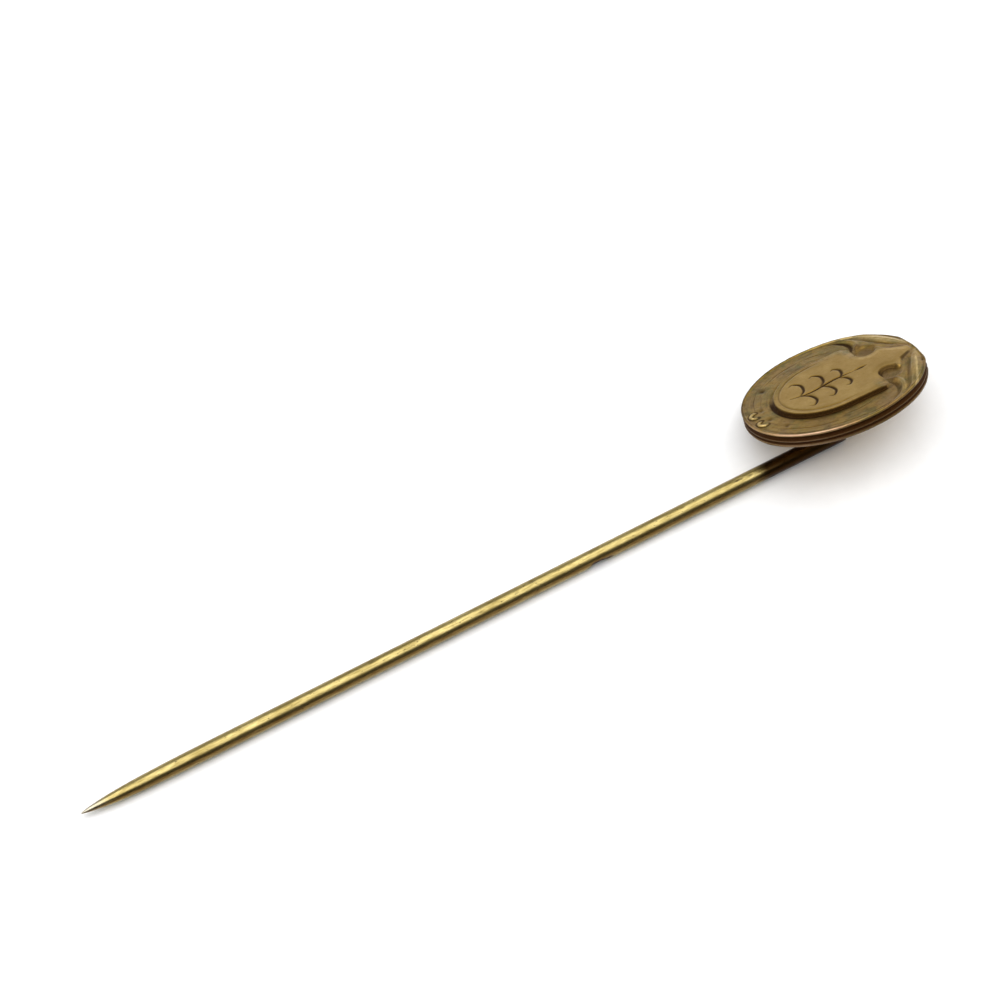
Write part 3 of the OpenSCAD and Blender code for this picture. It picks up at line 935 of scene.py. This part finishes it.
GOLD = (0.33, 0.205, 0.052)
PALE_GOLD = (0.43, 0.285, 0.085)
OCHRE = (0.32, 0.195, 0.045)
OLIVE = (0.22, 0.162, 0.042)
MOSS = (0.125, 0.108, 0.030)
PLUM = (0.24, 0.145, 0.065)
BROWN = (0.13, 0.07, 0.018)
TAN = (0.62, 0.46, 0.20)
ROSE = (0.62, 0.40, 0.27)
DULL_ROSE = (0.25, 0.165, 0.10)
RED_BROWN = (0.045, 0.016, 0.004)
DARK_OLIVE = (0.075, 0.055, 0.018)
TARNISH_AND_SHADE = (0.032, 0.013, 0.003)
SILVER = (0.62, 0.59, 0.50)
BRASS = (0.54, 0.44, 0.18)
DARK_BRASS = (0.36, 0.28, 0.10)
DULL_BRASS = (0.34, 0.22, 0.10)
BACK_BRASS = (0.66, 0.46, 0.20)
CLEAN_BRASS = (0.76, 0.56, 0.28)
SOLDER = (0.60, 0.55, 0.45)
DARK_SOLDER = (0.30, 0.26, 0.20)


def gilt_face_material():
    material, tree, shader = new_material("worn_gilt_face")
    where = coordinates(tree)
    course = node(tree, "ShaderNodeAttribute", attribute_name="around").outputs["Vector"]
    cloud = noise_of(tree, where, 1.6, 4)
    drift = noise_of(tree, where, 1.1, 4, 0.6)
    stain = noise_of(tree, coordinates(tree, (1.3, 0.9, 1)), 1.7, 3)
    mottle = noise_of(tree, where, 0.28, 5, 0.65)
    fine = noise_of(tree, where, 0.07, 3)
    rings = noise_of(tree, course, 1.1, 5, 0.65)
    recess = attribute(tree, "recess")
    raised = attribute(tree, "raised")
    border = attribute(tree, "border")
    side = attribute(tree, "side")
    base = ramp(tree, cloud, [(0.35, GOLD), (0.68, PALE_GOLD)])
    field = ramp(tree, drift, [(0.36, MOSS), (0.44, OLIVE), (0.54, OCHRE), (0.66, OLIVE)])
    field = mix(tree, ramp(tree, stain, [(0.5, 0.0), (0.62, 0.6)]), field, PLUM)
    for name, colour in (("moss", MOSS), ("plum", PLUM), ("ochre", OCHRE)):
        patchy = calc(tree, "MULTIPLY", attribute(tree, name), ramp(tree, mottle, [(0.3, 0.9), (0.7, 0.5)]))
        field = mix(tree, patchy, field, colour)
    field = mix(tree, ramp(tree, rings, [(0.38, 0.5), (0.5, 0.0)]), field, BROWN)
    field = mix(tree, ramp(tree, rings, [(0.56, 0.0), (0.68, 0.45)]), field, GOLD)
    base = mix(tree, ramp(tree, drift, [(0.42, 0.55), (0.58, 0.0)]), base, OCHRE)
    base = mix(tree, calc(tree, "MULTIPLY", border, 0.92), base, field)
    speckled = ramp(tree, mottle, [(0.52, 0.0), (0.72, 0.5)])
    spots = calc(tree, "MULTIPLY", calc(tree, "ADD", border, 0.3), speckled)
    base = mix(tree, spots, base, BROWN)
    # Ridges painted tan: rubbing, and painted highlights
    rubbed_and_highlit = calc(tree, "MULTIPLY", raised, ramp(tree, mottle, [(0.35, 0.9), (0.65, 0.55)]))
    base = mix(tree, rubbed_and_highlit, base, TAN)
    bands = mix(tree, attribute(tree, "near"), DARK_OLIVE, DULL_ROSE)
    bands = mix(tree, ramp(tree, mottle, [(0.4, 0.45), (0.65, 0.0)]), bands, BROWN)
    base = mix(tree, calc(tree, "MULTIPLY", side, 0.95), base, bands)
    # Dirt, and painted shade on the wall, in the hollows and round the curls
    dirt_and_shade = calc(tree, "MULTIPLY", recess, ramp(tree, fine, [(0.2, 0.85), (0.6, 1.0)]))
    base = mix(tree, dirt_and_shade, base, mix(tree, side, TARNISH_AND_SHADE, RED_BROWN))
    # The near lip painted rose: wear, and a painted highlight
    worn = calc(tree, "MULTIPLY", attribute(tree, "lip"), ramp(tree, mottle, [(0.35, 1.0), (0.7, 0.7)]))
    base = mix(tree, worn, base, ROSE)
    link(tree, base, shader.inputs["Base Color"])
    shader.inputs["Metallic"].default_value = 1.0
    rough = ramp(tree, mottle, [(0.3, 0.32), (0.75, 0.46)])
    rough = mix(tree, dirt_and_shade, rough, (0.7, 0.7, 0.7))
    link(tree, rough, shader.inputs["Roughness"])
    bump(tree, shader, (rings, 0.015), (mottle, 0.008), (fine, 0.002))
    return material


# Places along the stem, in millimetres from its tip, between which its colour changes: it is
# silvery towards the tip, and painted dark towards the head as its shadow and dark reflection
TIP_END = [3.2, 1.2]
SHADE_FROM = [50.0, 51.3]


def gilt_wire_material():
    material, tree, shader = new_material("drawn_gilt_wire")
    drawn = noise_of(tree, coordinates(tree, (0.14, 1, 1)), 0.13, 5, 0.75)
    cloud = noise_of(tree, coordinates(tree, (0.3, 1, 1)), 0.9, 3)
    specks = noise_of(tree, coordinates(tree, (0.7, 1, 1)), 0.16, 2)
    recess = attribute(tree, "recess")
    base = ramp(tree, cloud, [(0.35, DARK_BRASS), (0.65, BRASS)])
    base = mix(tree, ramp(tree, drawn, [(0.44, 0.0), (0.66, 0.75)]), base, OLIVE)
    flank = calc(tree, "MULTIPLY", attribute(tree, "flank"), ramp(tree, drawn, [(0.3, 0.75), (0.6, 1.0)]))
    drift = calc(tree, "MULTIPLY", cloud, 1.6, False)
    along = calc(tree, "ADD", attribute(tree, "along"), drift, False)
    tip = band(tree, along, *TIP_END)
    base = mix(tree, calc(tree, "MULTIPLY", tip, 0.75), base, SILVER)
    # Painted dark reflection on the flanks
    base = mix(tree, flank, base, BROWN)
    # Painted shadow and dark reflection of the head on the wire
    shade = band(tree, along, *SHADE_FROM)
    base = mix(tree, calc(tree, "MULTIPLY", shade, 0.96), base, TARNISH_AND_SHADE)
    dark = calc(tree, "MULTIPLY", ramp(tree, specks, [(0.67, 0.0), (0.72, 1.0)]), 0.8)
    dark = calc(tree, "MAXIMUM", dark, recess)
    base = mix(tree, dark, base, TARNISH_AND_SHADE)
    link(tree, base, shader.inputs["Base Color"])
    shader.inputs["Metallic"].default_value = 1.0
    rough = ramp(tree, drawn, [(0.3, 0.24), (0.75, 0.38)])
    link(tree, mix(tree, dark, rough, (0.6, 0.6, 0.6)), shader.inputs["Roughness"])
    bump(tree, shader, (drawn, 0.008), (specks, 0.004))
    return material


def back_material():
    material, tree, shader = new_material("dull_brass_back")
    where = coordinates(tree)
    cloud = noise_of(tree, where, 1.8, 5, 0.6)
    fine = noise_of(tree, where, 0.12, 4, 0.6)
    rolled = noise_of(tree, coordinates(tree, (0.15, 1, 1)), 0.2, 3)
    base = ramp(tree, cloud, [(0.3, DULL_BRASS), (0.5, BACK_BRASS), (0.7, CLEAN_BRASS)])
    base = mix(tree, ramp(tree, fine, [(0.5, 0.0), (0.75, 0.7)]), base, TARNISH_AND_SHADE)
    link(tree, base, shader.inputs["Base Color"])
    shader.inputs["Metallic"].default_value = 1.0
    link(tree, ramp(tree, fine, [(0.3, 0.34), (0.7, 0.55)]), shader.inputs["Roughness"])
    bump(tree, shader, (rolled, 0.004), (fine, 0.003))
    return material


def solder_material():
    material, tree, shader = new_material("grey_solder")
    where = coordinates(tree)
    cloud = noise_of(tree, where, 0.5, 4, 0.6)
    fine = noise_of(tree, where, 0.09, 4)
    base = ramp(tree, cloud, [(0.35, DARK_SOLDER), (0.65, SOLDER)])
    base = mix(tree, ramp(tree, fine, [(0.5, 0.0), (0.75, 0.6)]), base, TARNISH_AND_SHADE)
    link(tree, base, shader.inputs["Base Color"])
    shader.inputs["Metallic"].default_value = 1.0
    link(tree, ramp(tree, fine, [(0.3, 0.35), (0.7, 0.6)]), shader.inputs["Roughness"])
    bump(tree, shader, (cloud, 0.02), (fine, 0.004))
    return material


def table_material():
    material, tree, shader = new_material("pale_table")
    grainy = noise_of(tree, coordinates(tree), 2.0, 3)
    link(tree, ramp(tree, grainy, [(0.3, (0.90, 0.90, 0.90)), (0.7, (0.93, 0.93, 0.93))]),
         shader.inputs["Base Color"])
    shader.inputs["Roughness"].default_value = 0.75
    shader.inputs["Specular IOR Level"].default_value = 0.2
    return material


# Stage

def add_stage():
    bpy.ops.object.select_all(action="DESELECT")
    bpy.ops.mesh.primitive_plane_add(size=4)
    floor = bpy.context.object
    floor.name = "table"
    floor.data.materials.append(table_material())


# Soft lights: name, place, width in metres and power in watts
LIGHTS = [
    ["overhead", (0.03, 0.03, 0.66), 1.0, 5.6],
    ["left_fill", (-0.7, 0.35, 0.5), 0.6, 1.6],
    ["right_fill", (0.75, 0.1, 0.5), 0.6, 2.0],
]


def add_light(name, place_at, size, watts):
    """A round light that faces the middle of the pin."""
    bpy.ops.object.light_add(type="AREA", location=place_at)
    light = bpy.context.object
    light.name = name
    light.data.shape = "DISK"
    light.data.size = size
    light.data.energy = watts
    light.rotation_mode = "QUATERNION"
    light.rotation_quaternion = (-Vector(place_at)).to_track_quat("-Z", "Y")


# Light of the room's left and right walls
SIDE_GLOW = 0.7


def add_world():
    """A dim room: some light from behind and from both sides, and almost none from the front."""
    world = bpy.data.worlds.new("room")
    bpy.context.scene.world = world
    world.use_nodes = True
    tree = world.node_tree
    source = node(tree, "ShaderNodeTexCoord")
    axes = node(tree, "ShaderNodeSeparateXYZ")
    link(tree, source.outputs["Generated"], axes.inputs[0])
    depth = node(tree, "ShaderNodeMapRange")
    depth.inputs["From Min"].default_value = -1.0
    link(tree, axes.outputs["Y"], depth.inputs["Value"])
    sky = ramp(tree, depth.outputs[0], [(0.0, 0.02), (0.35, 0.06), (0.7, 0.30), (1.0, 0.50)])
    across = calc(tree, "ABSOLUTE", axes.outputs["X"], 0.0)
    aside = calc(tree, "MULTIPLY", calc(tree, "POWER", across, 2.0), SIDE_GLOW)
    sky = mix(tree, 1.0, sky, aside, "ADD")
    link(tree, sky, tree.nodes["Background"].inputs["Color"])


# Camera: its heading from +Y towards +X, its elevation over the table and its roll
CAMERA_HEADING = math.radians(28.33)
CAMERA_ELEVATION = math.radians(60.44)
CAMERA_ROLL = math.radians(-1.26)
CAMERA_DISTANCE = 0.4
CAMERA_TARGET = Vector((0.003027, 0.005298, 0))
CAMERA_LENS = 221.26


def add_camera():
    level = Vector((math.sin(CAMERA_HEADING), math.cos(CAMERA_HEADING), 0))
    look = level * math.cos(CAMERA_ELEVATION) - Vector((0, 0, math.sin(CAMERA_ELEVATION)))
    bpy.ops.object.camera_add(location=CAMERA_TARGET - CAMERA_DISTANCE * look)
    camera = bpy.context.object
    camera.rotation_mode = "QUATERNION"
    turned = look.to_track_quat("-Z", "Y").to_matrix().to_4x4() @ Matrix.Rotation(CAMERA_ROLL, 4, "Z")
    camera.rotation_quaternion = turned.to_quaternion()
    camera.data.lens = CAMERA_LENS
    camera.data.sensor_width = 36
    camera.data.clip_start = 0.01
    camera.data.clip_end = 20
    bpy.context.scene.camera = camera


def finish_piece(piece, material):
    piece.data.materials.clear()
    piece.data.materials.append(material)


add_camera()
finish_piece(add_face(), gilt_face_material())
finish_piece(add_back_plate(), back_material())
finish_piece(add_solder(), solder_material())
finish_piece(add_wire(), gilt_wire_material())
add_stage()
for light_row in LIGHTS:
    add_light(*light_row)
add_world()
bpy.context.scene.view_settings.view_transform = "Standard"
